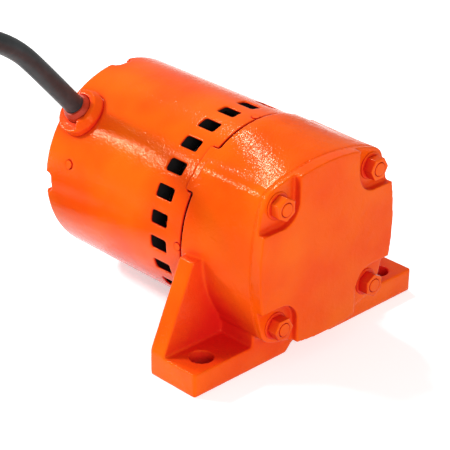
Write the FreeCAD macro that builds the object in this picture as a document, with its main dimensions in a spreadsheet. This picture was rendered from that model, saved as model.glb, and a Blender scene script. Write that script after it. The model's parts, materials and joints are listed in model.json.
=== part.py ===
import FreeCAD, Part
import math
import os
import re
import Sketcher
from FreeCAD import Placement, Rotation, Vector

# Rotary vibration motor: a small motor in a drum shell, flanged to a cast
# eccentric housing that stands on two feet. Lengths are millimetres.
# +Z is up, +Y runs from the front cover to the motor, +X is right as seen
# from the front. The origin lies on the base plane, halfway between the
# two mounting holes.

# ---------------------------------------------------------------- sizes
SIZES = [
    # base and shaft line
    ("axis_height", 69.8, "shaft line above the base plane"),
    ("foot_half_width", 94.0, "centre to the outer end of a foot"),
    ("foot_thickness", 15.0, "foot plate"),
    ("foot_front_reach", 13.2, "mounting hole to the front of the feet"),
    ("foot_rear_reach", 25.4, "mounting hole to the rear of the feet"),
    ("foot_hole_offset", 76.2, "centre to a mounting hole"),
    ("foot_hole_radius", 7.15, "mounting hole"),
    ("foot_corner_radius", 2.0, "rounded outer corners of the feet"),
    ("rib_thickness", 12.0, "gusset between foot and housing"),
    ("rib_top_offset", 70.0, "centre to the top of the gusset's slope"),
    ("rib_top_height", 69.0, "top of the gusset's slope above the base"),
    ("skirt_half_width", 47.5, "housing sides where they run down to the feet"),
    ("skirt_height", 32.0, "top of the straight part of those sides"),
    ("relief_half_width", 19.0, "gap between the feet under the housing"),
    ("relief_height", 5.4, "headroom of that gap"),
    # cover and housing outline
    ("cover_face", 27.7, "mounting holes to the cover's front face"),
    ("cover_thickness", 8.0, "cover plate"),
    ("outline_half_width", 56.5, "middle of a bulged side"),
    ("stud_offset", 38.9, "stud centre from the shaft line, across and up"),
    ("corner_radius", 11.2, "outline round each stud"),
    ("seat_depth", 4.9, "nut seat below the cover's face"),
    ("seat_radius", 13.8, "nut seat round a stud"),
    ("gasket_thickness", 0.8, "between cover and housing"),
    ("stud_radius", 4.76, "cover stud"),
    ("stud_engagement", 24.0, "stud length inside the housing"),
    ("stud_proud", 0.4, "stud end beyond its nut"),
    ("nut_across_flats", 14.3, "cover nut"),
    ("nut_height", 7.8, "cover nut"),
    ("washer_radius", 9.2, "cover washer"),
    ("washer_thickness", 1.1, "cover washer"),
    ("hole_clearance", 0.3, "radial room round studs and bolts"),
    ("thread_gap", 0.05, "threaded piece to its hole, radial"),
    # housing
    ("joint_station", 29.8, "mounting holes to the housing's rear face"),
    ("neck_radius", 64.8, "round neck at the joint"),
    ("neck_length", 5.8, "straight part of the neck"),
    ("ridge_growth", 0.9, "how much wider a corner ridge is at the joint"),
    ("lug_length", 6.4, "lug behind the joint"),
    ("lug_half_angle", 13.3, "half the angle of a lug"),
    ("lug_phase", 45.0, "direction of the first lug"),
    ("spigot_length", 8.2, "centring ring inside the shell"),
    ("spigot_wall", 9.8, "centring ring"),
    ("undercut_depth", 2.4, "groove round the centring ring at the open joint"),
    ("chamber_radius", 43.0, "chamber for the eccentric weights"),
    ("bulkhead_thickness", 18.5, "wall behind the chamber"),
    # shell
    ("shell_radius", 63.5, "motor shell"),
    ("shell_wall", 1.6, "motor shell"),
    ("shell_gap", 2.2, "open joint between housing and shell"),
    ("shell_rear", 155.6, "mounting holes to the shell's rear edge"),
    ("window_count", 24.0, "ventilation windows"),
    ("window_front", 44.4, "mounting holes to the windows"),
    ("window_length", 13.4, "window along the shaft"),
    ("window_width", 8.0, "window round the shell"),
    ("window_phase", 4.6, "first window from the top"),
    ("notch_clearance", 0.25, "room round a lug in the shell's notch"),
    ("scallop_depth", 4.8, "recess in the shell's rear edge"),
    ("scallop_inner", 50.5, "recesses start this far from the shaft line"),
    ("scallop_half_width", 6.2, "recess in the shell's rear edge"),
    ("fit_gap", 0.3, "between curved faces of separate pieces"),
    ("screw_station", 34.1, "shell screws"),
    ("screw_radius", 2.3, "shell screw head"),
    ("screw_depth", 3.4, "shell screw below the surface"),
    ("rivet_station", 134.6, "locating rivet in the shell"),
    ("rivet_angle", 164.0, "direction of the locating rivet"),
    ("rivet_radius", 2.6, "locating rivet"),
    # end bell and tie bolts
    ("bell_plate", 8.0, "end bell at its rim"),
    ("bell_dome", 3.2, "how far the end bell's middle stands back"),
    ("bell_lip", 1.4, "end bell behind the shell's edge"),
    ("bell_rib", 9.0, "end bell's ring inside the shell, deep and thick"),
    ("vent_count", 8.0, "vents in the end bell"),
    ("vent_half_angle", 14.0, "vents in the end bell"),
    ("tie_circle", 56.0, "tie bolts from the shaft line"),
    ("tie_radius", 2.4, "tie bolt"),
    ("tie_head_flats", 8.0, "tie bolt head"),
    ("tie_head_height", 3.6, "tie bolt head"),
    ("tie_engagement", 11.0, "tie bolt thread in the housing"),
    # bearings of the eccentric
    ("bearing_bore", 8.5, "ball bearing, inner radius"),
    ("bearing_rim", 20.0, "ball bearing, outer radius"),
    ("bearing_width", 12.0, "ball bearing"),
    ("race_wall", 3.0, "inner and outer rings"),
    ("bearing_boss_wall", 6.0, "cover's boss round its bearing"),
    ("bearing_sink", 0.5, "front bearing sunk into the plate"),
    ("seal_rim", 15.0, "shaft seal, outer radius"),
    ("seal_width", 6.0, "shaft seal"),
    # eccentric
    ("run_clearance", 0.05, "running fit, radial"),
    ("shaft_shoulder", 11.5, "eccentric shaft where the weights sit"),
    ("weight_radius", 40.0, "eccentric weight"),
    ("weight_hub", 17.5, "round part of a weight"),
    ("weight_half_angle", 80.0, "half the angle of a weight's heavy side"),
    ("weight_thickness", 7.4, "one eccentric weight"),
    ("weight_gap", 0.9, "weights to their neighbours"),
    ("key_width", 5.0, "key under the weights"),
    ("key_depth", 2.5, "key in the shaft, and as much in the weight"),
    # coupling
    ("coupling_radius", 15.0, "flexible coupling"),
    ("coupling_plate", 5.0, "coupling hub's disc"),
    ("jaw_length", 4.6, "coupling jaws"),
    ("jaw_half_angle", 18.5, "coupling jaws"),
    ("leg_half_angle", 9.5, "legs of the coupling's spider"),
    ("coupling_gap", 1.2, "housing's rear face to the coupling"),
    ("stub_radius", 7.0, "shaft ends in the coupling"),
    # motor
    ("motor_shaft_radius", 7.0, "journals of the motor shaft"),
    ("rotor_shaft_radius", 9.0, "motor shaft inside the rotor"),
    ("bush_wall", 3.0, "sleeve bearing"),
    ("bush_length", 14.0, "sleeve bearing"),
    ("bush_boss_wall", 4.0, "boss round a sleeve bearing"),
    ("shield_station", 60.0, "front end shield"),
    ("shield_thickness", 4.5, "front end shield"),
    ("shield_rim", 9.0, "front end shield's ring"),
    ("opening_half_angle", 32.0, "air openings in the front end shield"),
    ("stator_front", 84.0, "front of the stator core"),
    ("stator_length", 42.0, "stator core"),
    ("stator_bore", 33.4, "stator core"),
    ("air_gap", 0.6, "stator to rotor"),
    ("slot_count", 12.0, "winding slots"),
    ("slot_inner", 37.0, "winding slots from the shaft line"),
    ("slot_outer", 49.0, "winding slots from the shaft line"),
    ("slot_half_width", 5.0, "winding slots"),
    ("overhang", 11.0, "end turns of the winding"),
    ("end_ring_length", 6.0, "rotor's end rings"),
    ("end_ring_wall", 8.0, "rotor's end rings"),
    ("fan_front", 47.2, "cooling fan"),
    ("fan_length", 9.6, "cooling fan"),
    ("fan_radius", 52.0, "cooling fan"),
    ("fan_hub", 12.0, "cooling fan's hub"),
    ("blade_count", 8.0, "fan blades"),
    ("blade_sweep", 3.2, "half the slant of a blade"),
    ("blade_thickness", 2.0, "fan blade"),
    # cord entry and cord
    ("entry_station", 140.2, "cord entry"),
    ("entry_angle", 134.5, "where the entry meets the shell"),
    ("entry_lean", 130.0, "direction in which the entry points"),
    ("entry_radius", 15.4, "cord entry's collar"),
    ("entry_socket", 9.2, "hole in the collar"),
    ("entry_height", 7.0, "collar above the shell"),
    ("entry_round", 2.8, "sloped rim of the collar"),
    ("sleeve_radius", 8.9, "strain relief in the collar"),
    ("sleeve_length", 21.0, "strain relief"),
    ("sleeve_nose", 3.0, "strain relief beyond the collar"),
    ("sleeve_taper", 1.3, "strain relief's nose is this much slimmer"),
    ("cord_radius", 6.4, "power cord"),
    ("cord_straight", 46.0, "first run of the cord's route"),
    ("coil_mid_radius", 64.0, "middle of the put-away coil's turns"),
    ("coil_across", -153.0, "coil centre, to the right"),
    ("coil_along", 228.5, "coil centre, to the rear"),
    ("coil_round", 4.0, "rounded shoulders of the coil"),
    ("plug_offset", 15.0, "coil centre to the plug's cord end"),
    ("plug_radius", 17.5, "plug body"),
    ("plug_length", 48.0, "plug body"),
    ("plug_nose", 22.0, "plug's nose, long"),
    ("plug_nose_radius", 9.5, "plug's nose"),
    ("pin_reach", 17.5, "plug pins beyond the body"),
    ("blade_offset", 6.35, "plug's flat pins from its middle"),
    ("blade_half_width", 3.15, "plug's flat pins"),
    ("blade_half_thickness", 0.75, "plug's flat pins"),
    ("earth_pin_offset", 11.9, "plug's round pin below the flat ones"),
    ("earth_pin_radius", 2.4, "plug's round pin"),
]

NAMES = {name for name, _, _ in SIZES}

doc = FreeCAD.newDocument("VibrationMotor")
sheet = doc.addObject("Spreadsheet::Sheet", "Sizes")
for row, (name, number, note) in enumerate(SIZES, start=1):
    sheet.set("A%d" % row, name)
    sheet.set("B%d" % row, repr(number))
    sheet.set("C%d" % row, note)
    sheet.setAlias("B%d" % row, name)
doc.recompute()


def bound(text):
    """A size expression as another object of the document writes it."""
    return re.sub(r"[a-z_]+", lambda m: "Sizes." + m[0] if m[0] in NAMES else m[0], text)


def size(text):
    """The present value of a size expression."""
    return float(sheet.evalExpression(text))


# stations along the shaft line that several pieces share
COVER_FRONT = "-cover_face"
COVER_BACK = "(cover_thickness - cover_face)"
HOUSING_FRONT = "(cover_thickness + gasket_thickness - cover_face)"
FRONT_BEARING = "(%s - bearing_sink)" % COVER_BACK
BOSS_END = "(%s + bearing_width)" % FRONT_BEARING
BULKHEAD = "(joint_station - bulkhead_thickness)"
REAR_BEARING = "(%s - bearing_sink)" % BULKHEAD
SHELL_FRONT = "(joint_station + shell_gap)"
SHELL_BORE = "(shell_radius - shell_wall)"
COUPLING_FRONT = "(joint_station + coupling_gap)"
JAWS_FRONT = "(%s + coupling_plate)" % COUPLING_FRONT
JAWS_END = "(%s + jaw_length + 2 * fit_gap)" % JAWS_FRONT
COUPLING_END = "(%s + coupling_plate)" % JAWS_END
BELL_BACK = "(shell_rear + bell_lip)"
BELL_FRONT = "(%s - bell_plate)" % BELL_BACK
BUSH_REAR = "(%s - bell_rib + 1)" % BELL_FRONT


# ---------------------------------------------------------------- helpers
def new_body(label, height="axis_height", across="0", along="0", turn="0"):
    """A body with its own origin at (across, along, height), on the shaft line
    unless told otherwise, and turned about Y from up towards +X."""
    body = doc.addObject("PartDesign::Body", label)
    body.Label = label
    body.AllowCompound = True
    body.Placement = Placement(Vector(), Rotation(Vector(0, 1, 0), size(turn)))
    for letter, text in zip("xyz", (across, along, height)):
        body.setExpression("Placement.Base." + letter, bound(text))
    return body


def origin_feature(body, role):
    return next(f for f in body.Origin.OriginFeatures if f.Role == role)


def new_sketch(body, role="XZ_Plane", station="0", turn="0", tilt="0"):
    """A sketch on an origin plane, turned in that plane or tilted about its own
    upright. On XZ_Plane, station is its Y position."""
    sketch = body.newObject("Sketcher::SketchObject", body.Name + "_sketch")
    sketch.AttachmentSupport = [(origin_feature(body, role), "")]
    sketch.MapMode = "FlatFace"
    in_plane = Rotation(Vector(0, 0, 1), size(turn))
    sketch.AttachmentOffset = Placement(
        Vector(), Rotation(Vector(0, 1, 0), size(tilt)).multiply(in_plane))
    sign = "-" if role == "XZ_Plane" else ""
    sketch.setExpression("AttachmentOffset.Base.z", bound("%s(%s)" % (sign, station)))
    return sketch


def fix(sketch, kind, args, text):
    """One dimension of the sketch, tied to a size expression."""
    index = sketch.addConstraint(Sketcher.Constraint(kind, *args, size(text)))
    sketch.setExpression("Constraints[%d]" % index, bound(text))


def fix_point(sketch, geometry, end, across, up):
    fix(sketch, "DistanceX", (-1, 1, geometry, end), across)
    fix(sketch, "DistanceY", (-1, 1, geometry, end), up)


def polygon(sketch, points):
    """A closed outline with straight sides through (across, up) points."""
    first = sketch.GeometryCount
    corners = [Vector(size(across), size(up), 0) for across, up in points]
    for start, end in zip(corners, corners[1:] + corners[:1]):
        sketch.addGeometry(Part.LineSegment(start, end))
    for i, (across, up) in enumerate(points):
        sketch.addConstraint(Sketcher.Constraint(
            "Coincident", first + i, 2, first + (i + 1) % len(points), 1))
        fix_point(sketch, first + i, 1, across, up)


def circle(sketch, radius, across="0", up="0"):
    centre = Vector(size(across), size(up), 0)
    index = sketch.addGeometry(Part.Circle(centre, Vector(0, 0, 1), size(radius)))
    fix_point(sketch, index, 3, across, up)
    fix(sketch, "Radius", (index,), radius)


def sector(sketch, inner, outer, half_angle):
    """Upright sector about the origin: straight foot, arc at the outer radius."""
    a = math.radians(size(half_angle))
    low, high = size(inner), size(outer)
    foot = [Vector(side * low * math.sin(a), low * math.cos(a), 0) for side in (-1, 1)]
    head = [Vector(side * high * math.sin(a), high * math.cos(a), 0) for side in (-1, 1)]
    sketch.addGeometry(Part.LineSegment(foot[0], foot[1]))
    sketch.addGeometry(Part.LineSegment(foot[1], head[1]))
    axis = Part.Circle(Vector(), Vector(0, 0, 1), high)
    sketch.addGeometry(Part.ArcOfCircle(axis, math.pi / 2 - a, math.pi / 2 + a))
    sketch.addGeometry(Part.LineSegment(head[0], foot[0]))
    for one, end, two, start in ((0, 2, 1, 1), (1, 2, 2, 1), (2, 2, 3, 1), (3, 2, 0, 1)):
        sketch.addConstraint(Sketcher.Constraint("Coincident", one, end, two, start))
    sketch.addConstraint(Sketcher.Constraint("Coincident", 2, 3, -1, 1))
    fix(sketch, "Radius", (2,), outer)
    fix(sketch, "DistanceX", (-1, 1, 2, 1), "%s * sin(%s)" % (outer, half_angle))
    fix(sketch, "DistanceX", (-1, 1, 2, 2), "-%s * sin(%s)" % (outer, half_angle))
    for geometry, side in ((0, "-"), (1, "")):
        fix_point(sketch, geometry, 1, "%s%s * sin(%s)" % (side, inner, half_angle),
                  "%s * cos(%s)" % (inner, half_angle))


def feature(body, kind, sketch, reverse=False, **lengths):
    made = body.newObject("PartDesign::" + kind, body.Name + "_" + kind)
    made.Profile = sketch
    made.Reversed = reverse
    sketch.Visibility = False
    for name, text in lengths.items():
        made.setExpression(name, bound(text))
    doc.recompute()
    return made


def pad(body, sketch, length, reverse=True):
    """From an XZ sketch the pad runs to the rear, unless reverse is off."""
    return feature(body, "Pad", sketch, reverse, Length=length)


def pocket(body, sketch, length, reverse=False):
    """From an XZ sketch the pocket cuts to the rear, unless reversed."""
    before = body.Shape.Volume
    made = feature(body, "Pocket", sketch, reverse, Length=length)
    if body.Shape.Volume > before - 1e-3:
        raise RuntimeError(body.Label + ": a pocket cuts nothing")
    return made


def turned(body, *outlines, kind="Revolution", upright=False):
    """Material, or a groove, turned about the body's Y axis, or its Z axis if it
    is upright; the points of each outline are (along the axis, radius)."""
    sketch = new_sketch(body, "YZ_Plane")
    for outline in outlines:
        polygon(sketch, [point[::-1] for point in outline] if upright else outline)
    axis = "V_Axis" if upright else "H_Axis"
    made = body.newObject("PartDesign::" + kind, body.Name + "_" + kind)
    made.Profile = sketch
    made.ReferenceAxis = (sketch, [axis])
    made.Angle = 360
    sketch.Visibility = False
    doc.recompute()
    return made


def around(body, features, count):
    """Copies of features round the shaft line."""
    pattern = body.newObject("PartDesign::PolarPattern", body.Name + "_pattern")
    pattern.Originals = features
    pattern.Axis = (origin_feature(body, "Y_Axis"), [""])
    pattern.Angle = 360
    pattern.Occurrences = int(size(count))
    body.Tip = pattern
    doc.recompute()
    return pattern


def dress(body, kind, wanted, amount):
    """Fillet or chamfer the edges of the body that wanted(edge) picks."""
    base = body.Tip
    names = ["Edge%d" % (i + 1) for i, edge in enumerate(base.Shape.Edges) if wanted(edge)]
    if not names:
        raise RuntimeError(body.Label + ": no edge to dress")
    made = body.newObject("PartDesign::" + kind, body.Name + "_" + kind)
    made.Base = (base, names)
    made.setExpression("Radius" if kind == "Fillet" else "Size", bound(amount))
    doc.recompute()
    return made


def near(a, b, room=1e-3):
    return abs(a - b) < room


# signs of the stud positions, going round
CORNERS = [(1, 1), (-1, 1), (-1, -1), (1, -1)]


def bulged_square(sketch, inset="0"):
    """Outline of cover and housing: corner arcs round the studs, joined by
    side arcs that are tangent to them and bulge to the half width."""
    centre, radius = size("stud_offset"), size("corner_radius - %s" % inset)
    reach = size("outline_half_width - %s" % inset) - centre
    side = (centre ** 2 + reach ** 2 - radius ** 2) / (2 * (reach - radius))
    side_text = ("(stud_offset^2 + (outline_half_width - {0} - stud_offset)^2"
                 " - (corner_radius - {0})^2) / (2 * (outline_half_width - stud_offset"
                 " - corner_radius))").format(inset)
    lean = math.asin(centre / (side - radius))
    for quarter in range(4):
        turn = quarter * math.pi / 2
        middle = centre + reach - side
        axis = Vector(middle * math.cos(turn), middle * math.sin(turn), 0)
        sketch.addGeometry(Part.ArcOfCircle(
            Part.Circle(axis, Vector(0, 0, 1), side), turn - lean, turn + lean))
        across, up = CORNERS[quarter]
        sketch.addGeometry(Part.ArcOfCircle(
            Part.Circle(Vector(across * centre, up * centre, 0), Vector(0, 0, 1), radius),
            turn + lean, turn + math.pi / 2 - lean))
    for i in range(8):
        sketch.addConstraint(Sketcher.Constraint("Tangent", i, 2, (i + 1) % 8, 1))
    for quarter, (across, up) in enumerate(CORNERS):
        corner = 2 * quarter + 1
        fix_point(sketch, corner, 3, "%d * stud_offset" % across, "%d * stud_offset" % up)
        fix(sketch, "Radius", (corner,), "corner_radius - %s" % inset)
        fix(sketch, "Radius", (corner - 1,), side_text)


def ring(label, front, length, bore, rim):
    """A plain ring on the shaft line."""
    body = new_body(label)
    end = "%s + %s" % (front, length)
    turned(body, [(front, bore), (end, bore), (end, rim), (front, rim)])
    return body


# ---------------------------------------------------------------- housing
SHELL_FIT = "(%s - fit_gap)" % SHELL_BORE
SPIGOT_END = "(joint_station + spigot_length)"


def foot_outline(sketch):
    """Both feet with the skirt between them, seen from the front."""
    half = [("relief_half_width - relief_height", "relief_height - axis_height"),
            ("relief_half_width - 0.3 * relief_height", "0.3 * relief_height - axis_height"),
            ("relief_half_width", "-axis_height"),
            ("foot_half_width", "-axis_height"),
            ("foot_half_width", "foot_thickness - axis_height"),
            ("skirt_half_width", "foot_thickness - axis_height"),
            ("skirt_half_width", "skirt_height - axis_height")]
    other = [("-(%s)" % across, up) for across, up in reversed(half)]
    polygon(sketch, half + other)


def is_foot_corner(edge):
    """The upright edges at the outer ends of the foot plates."""
    one, two = edge.Vertexes[0].Point, edge.Vertexes[-1].Point
    upright = near(one.x, two.x) and near(one.y, two.y) and not near(one.z, two.z)
    return upright and near(abs(one.x), size("foot_half_width")) and min(one.z, two.z) < 1


def eccentric_housing():
    """Casting: square-shouldered at the cover, round at the motor, on two feet."""
    body = new_body("eccentric_housing")
    front = new_sketch(body, station=HOUSING_FRONT)
    bulged_square(front)
    rear = new_sketch(body, station="joint_station - neck_length")
    circle(rear, "neck_radius")
    loft = body.newObject("PartDesign::AdditiveLoft", "housing_loft")
    loft.Profile = front
    loft.Sections = [rear]
    doc.recompute()

    neck = new_sketch(body, station="joint_station - neck_length")
    circle(neck, "neck_radius")
    pad(body, neck, "neck_length")

    ridge = body.newObject("PartDesign::AdditiveCone", "housing_ridge")
    ridge.AttachmentSupport = [(origin_feature(body, "XZ_Plane"), "")]
    ridge.MapMode = "FlatFace"
    for letter, text in zip("xyz", ("stud_offset", "stud_offset", "-joint_station")):
        ridge.setExpression("AttachmentOffset.Base." + letter, bound(text))
    ridge.setExpression("Radius1", bound("corner_radius + ridge_growth"))
    ridge.setExpression("Radius2", bound("corner_radius"))
    ridge.setExpression("Height", bound("joint_station - %s" % HOUSING_FRONT))
    doc.recompute()
    around(body, [ridge], "4")

    spigot = new_sketch(body, station="joint_station")
    circle(spigot, SHELL_FIT)
    circle(spigot, "%s - spigot_wall" % SHELL_FIT)
    pad(body, spigot, "spigot_length")
    turned(body, [("joint_station", "%s - undercut_depth" % SHELL_FIT),
                  (SHELL_FRONT, "%s - undercut_depth" % SHELL_FIT),
                  (SHELL_FRONT, "%s + 1" % SHELL_FIT),
                  ("joint_station", "%s + 1" % SHELL_FIT)], kind="Groove")

    lug = new_sketch(body, station="joint_station", turn="lug_phase")
    sector(lug, "(%s - spigot_wall / 2)" % SHELL_FIT, "neck_radius", "lug_half_angle")
    around(body, [pad(body, lug, "lug_length")], "4")

    feet = new_sketch(body, station="-foot_front_reach")
    foot_outline(feet)
    pad(body, feet, "foot_front_reach + foot_rear_reach")

    for side in ("", "-"):
        rib = new_sketch(body, station="foot_rear_reach - rib_thickness")
        polygon(rib, [(side + "foot_half_width", "foot_thickness - axis_height"),
                      (side + "rib_top_offset", "rib_top_height - axis_height"),
                      (side + "skirt_half_width", "rib_top_height - axis_height"),
                      (side + "skirt_half_width", "foot_thickness - axis_height")])
        pad(body, rib, "rib_thickness")

    turned(body, [("%s - 1" % HOUSING_FRONT, "0"),
                  ("joint_station + 1", "0"),
                  ("joint_station + 1", "seal_rim"),
                  ("%s + bearing_width" % REAR_BEARING, "seal_rim"),
                  ("%s + bearing_width" % REAR_BEARING, "bearing_rim"),
                  (BULKHEAD, "bearing_rim"),
                  (BULKHEAD, "chamber_radius"),
                  ("%s - 1" % HOUSING_FRONT, "chamber_radius")], kind="Groove")

    studs = new_sketch(body, station=HOUSING_FRONT)
    circle(studs, "stud_radius + thread_gap", "stud_offset", "stud_offset")
    around(body, [pocket(body, studs, "stud_engagement")], "4")

    ties = new_sketch(body, station=SPIGOT_END)
    circle(ties, "tie_radius + thread_gap", "0", "tie_circle")
    around(body, [pocket(body, ties, "spigot_length + tie_engagement", True)], "4")

    screws = new_sketch(body, "XY_Plane")
    circle(screws, "screw_radius + thread_gap", "0", "screw_station")
    around(body, [pocket(body, screws, "shell_radius", True)], "4")

    bolts = new_sketch(body, "XY_Plane", "foot_thickness - axis_height")
    for side in ("", "-"):
        circle(bolts, "foot_hole_radius", side + "foot_hole_offset", "0")
    pocket(body, bolts, "foot_thickness")

    dress(body, "Fillet", is_foot_corner, "foot_corner_radius")
    return body


def front_cover():
    """Cast cover with four sunk nut seats and a bearing boss on its inside."""
    body = new_body("front_cover")
    plate = new_sketch(body, station=COVER_FRONT)
    bulged_square(plate)
    pad(body, plate, "cover_thickness")
    boss = new_sketch(body, station=COVER_BACK)
    circle(boss, "bearing_rim + bearing_boss_wall")
    pad(body, boss, "bearing_width - bearing_sink")
    turned(body, [("%s - 3" % FRONT_BEARING, "0"), ("%s + 1" % BOSS_END, "0"),
                  ("%s + 1" % BOSS_END, "bearing_rim"), (FRONT_BEARING, "bearing_rim"),
                  (FRONT_BEARING, "bearing_bore + race_wall"),
                  ("%s - 3" % FRONT_BEARING, "bearing_bore + race_wall")], kind="Groove")

    seat = new_sketch(body, station=COVER_FRONT)
    nut_seat(seat)
    around(body, [pocket(body, seat, "seat_depth")], "4")
    holes = new_sketch(body, station=COVER_FRONT)
    circle(holes, "stud_radius + hole_clearance", "stud_offset", "stud_offset")
    around(body, [pocket(body, holes, "cover_thickness")], "4")
    return body


def nut_seat(sketch):
    """Corner recess: round about the stud, straight walls out to the edges."""
    out, middle = size("outline_half_width + 6"), size("stud_offset")
    low = size("stud_offset - seat_radius")
    points = [(low, middle), (low, out), (out, out), (out, low), (middle, low)]
    for start, end in zip(points, points[1:]):
        sketch.addGeometry(Part.LineSegment(Vector(*start, 0), Vector(*end, 0)))
    round_stud = Part.Circle(Vector(middle, middle, 0), Vector(0, 0, 1), size("seat_radius"))
    sketch.addGeometry(Part.ArcOfCircle(round_stud, math.pi, 1.5 * math.pi))
    for i in range(3):
        sketch.addConstraint(Sketcher.Constraint("Coincident", i, 2, i + 1, 1))
    sketch.addConstraint(Sketcher.Constraint("Coincident", 4, 1, 0, 1))
    sketch.addConstraint(Sketcher.Constraint("Coincident", 4, 2, 3, 2))
    far, near_wall = "outline_half_width + 6", "stud_offset - seat_radius"
    fix_point(sketch, 4, 3, "stud_offset", "stud_offset")
    fix(sketch, "Radius", (4,), "seat_radius")
    fix(sketch, "DistanceY", (-1, 1, 0, 1), "stud_offset")
    fix(sketch, "DistanceX", (-1, 1, 3, 2), "stud_offset")
    fix_point(sketch, 0, 2, near_wall, far)
    fix_point(sketch, 1, 2, far, far)
    fix_point(sketch, 2, 2, far, near_wall)


def cover_gasket():
    body = new_body("cover_gasket")
    outline = new_sketch(body, station=COVER_BACK)
    bulged_square(outline, "fit_gap")
    circle(outline, "chamber_radius")
    pad(body, outline, "gasket_thickness")
    holes = new_sketch(body, station=COVER_BACK)
    circle(holes, "stud_radius + hole_clearance", "stud_offset", "stud_offset")
    around(body, [pocket(body, holes, "gasket_thickness")], "4")
    return body


# ---------------------------------------------------------------- cover fasteners
NUT_SEAT = "(seat_depth - cover_face)"
NUT_BACK = "(%s - washer_thickness)" % NUT_SEAT
NUT_FACE = "(%s - nut_height)" % NUT_BACK


def hexagon(sketch, across_flats, across="0", up="0"):
    points = []
    for k in range(6):
        points.append(("%s + %s / sqrt(3) * cos(%d)" % (across, across_flats, 60 * k),
                       "%s + %s / sqrt(3) * sin(%d)" % (up, across_flats, 60 * k)))
    polygon(sketch, points)


def cover_studs():
    body = new_body("cover_studs")
    stud = new_sketch(body, station="%s - stud_proud" % NUT_FACE)
    circle(stud, "stud_radius", "stud_offset", "stud_offset")
    length = "%s + stud_engagement - %s + stud_proud" % (HOUSING_FRONT, NUT_FACE)
    around(body, [pad(body, stud, length)], "4")
    return body


def cover_nuts():
    body = new_body("cover_nuts")
    nut = new_sketch(body, station=NUT_FACE)
    hexagon(nut, "nut_across_flats", "stud_offset", "stud_offset")
    circle(nut, "stud_radius + thread_gap", "stud_offset", "stud_offset")
    around(body, [pad(body, nut, "nut_height")], "4")
    return body


def cover_washers():
    body = new_body("cover_washers")
    washer = new_sketch(body, station=NUT_BACK)
    circle(washer, "washer_radius", "stud_offset", "stud_offset")
    circle(washer, "stud_radius + hole_clearance", "stud_offset", "stud_offset")
    around(body, [pad(body, washer, "washer_thickness")], "4")
    return body


# ---------------------------------------------------------------- motor shell
SCALLOP_FLOOR = "(shell_rear - scallop_depth)"
ENTRY_TURN = "(90 - entry_lean)"
ENTRY_ACROSS = "(-shell_radius * sin(entry_angle - entry_lean))"
ENTRY_RISE = "(shell_radius * cos(entry_angle - entry_lean))"


def rectangle(sketch, left, low, right, high):
    polygon(sketch, [(left, low), (right, low), (right, high), (left, high)])


def motor_shell():
    """Drum with a ring of windows, notched in front and scalloped at the rear."""
    body = new_body("motor_shell")
    turned(body, [(SHELL_FRONT, SHELL_BORE), ("shell_rear", SHELL_BORE),
                  ("shell_rear", "shell_radius"), (SHELL_FRONT, "shell_radius")])
    reach = "shell_radius + 1"

    window = new_sketch(body, "XY_Plane", tilt="-window_phase")
    rectangle(window, "-window_width / 2", "window_front",
              "window_width / 2", "window_front + window_length")
    around(body, [pocket(body, window, reach, True)], "window_count")

    notch = new_sketch(body, "XY_Plane", tilt="lug_phase")
    half = "(neck_radius * sin(lug_half_angle) + notch_clearance)"
    rectangle(notch, "-" + half, "joint_station", half, "joint_station + lug_length")
    around(body, [pocket(body, notch, reach, True)], "4")

    scallop = new_sketch(body, "XY_Plane")
    polygon(scallop, [("-scallop_half_width", "shell_rear + 1"),
                      ("-scallop_half_width", "%s + scallop_half_width / 3" % SCALLOP_FLOOR),
                      ("-scallop_half_width * 2 / 3", SCALLOP_FLOOR),
                      ("scallop_half_width * 2 / 3", SCALLOP_FLOOR),
                      ("scallop_half_width", "%s + scallop_half_width / 3" % SCALLOP_FLOOR),
                      ("scallop_half_width", "shell_rear + 1")])
    around(body, [pocket(body, scallop, reach, True)], "4")

    screw = new_sketch(body, "XY_Plane")
    circle(screw, "screw_radius + thread_gap", "0", "screw_station")
    around(body, [pocket(body, screw, reach, True)], "4")

    rivet = new_sketch(body, "XY_Plane", tilt="90 - rivet_angle")
    circle(rivet, "rivet_radius + thread_gap", "0", "rivet_station")
    pocket(body, rivet, reach, True)

    entry = new_sketch(body, "XY_Plane", tilt=ENTRY_TURN)
    circle(entry, "entry_socket", ENTRY_ACROSS, "entry_station")
    pocket(body, entry, reach, True)
    return body


def shell_screws():
    """Domed screws that hold the shell to the housing's centring ring."""
    body = new_body("shell_screws")
    screw = new_sketch(body, "XY_Plane", "shell_radius - screw_depth")
    circle(screw, "screw_radius", "0", "screw_station")
    around(body, [pad(body, screw, "screw_depth + fit_gap", False)], "4")
    return body


def shell_rivet():
    body = new_body("shell_rivet", turn="90 - rivet_angle")
    rivet = new_sketch(body, "XY_Plane", "%s - fit_gap" % SHELL_BORE)
    circle(rivet, "rivet_radius", "0", "rivet_station")
    pad(body, rivet, "shell_wall + 3 * fit_gap", False)
    return body


# ---------------------------------------------------------------- cord entry
def entry_body(label):
    """A body whose Z axis is the axis of the cord entry."""
    across = "%s * cos(%s)" % (ENTRY_ACROSS, ENTRY_TURN)
    height = "axis_height - %s * sin(%s)" % (ENTRY_ACROSS, ENTRY_TURN)
    return new_body(label, height, across, "entry_station", ENTRY_TURN)


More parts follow.
